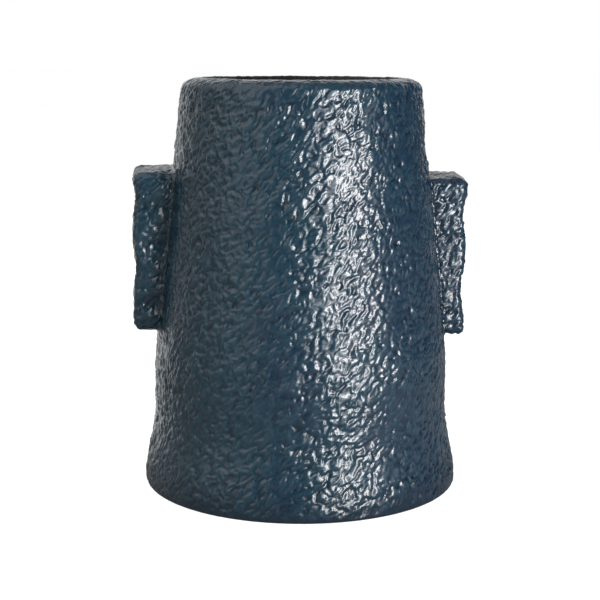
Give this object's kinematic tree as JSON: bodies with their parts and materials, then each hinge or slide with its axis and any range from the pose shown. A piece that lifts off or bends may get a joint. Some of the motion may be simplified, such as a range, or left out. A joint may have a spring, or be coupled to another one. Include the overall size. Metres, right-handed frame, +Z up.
{
  "type": "lugged vase",
  "caption": "Tapered round vase with a flared foot, a wide mouth with an in-turned rounded rim, and an upright block lug on either side, under a rough dark blue glaze.",
  "frame": {"origin": "centre of the standing edge, on the plane the vase stands on", "axes": "+Z up along the axis of the vessel; the lugs lie on +X and -X; -Y is the front"},
  "size_m": [0.215, 0.204, 0.26],
  "materials": {
    "blue_glaze": "thick glossy glaze with a pebbled skin",
    "inside_glaze": "thin dark glaze",
    "stoneware": "bare fired clay"
  },
  "bodies": {
    "root": {"body_wall": "blue_glaze", "rim_coil": "blue_glaze", "floor_disc": "stoneware", "floor_seam": "inside_glaze", "left_lug": "blue_glaze", "left_lug_seam": "blue_glaze", "right_lug": "blue_glaze", "right_lug_seam": "blue_glaze"}
  },
  "joints": []
}
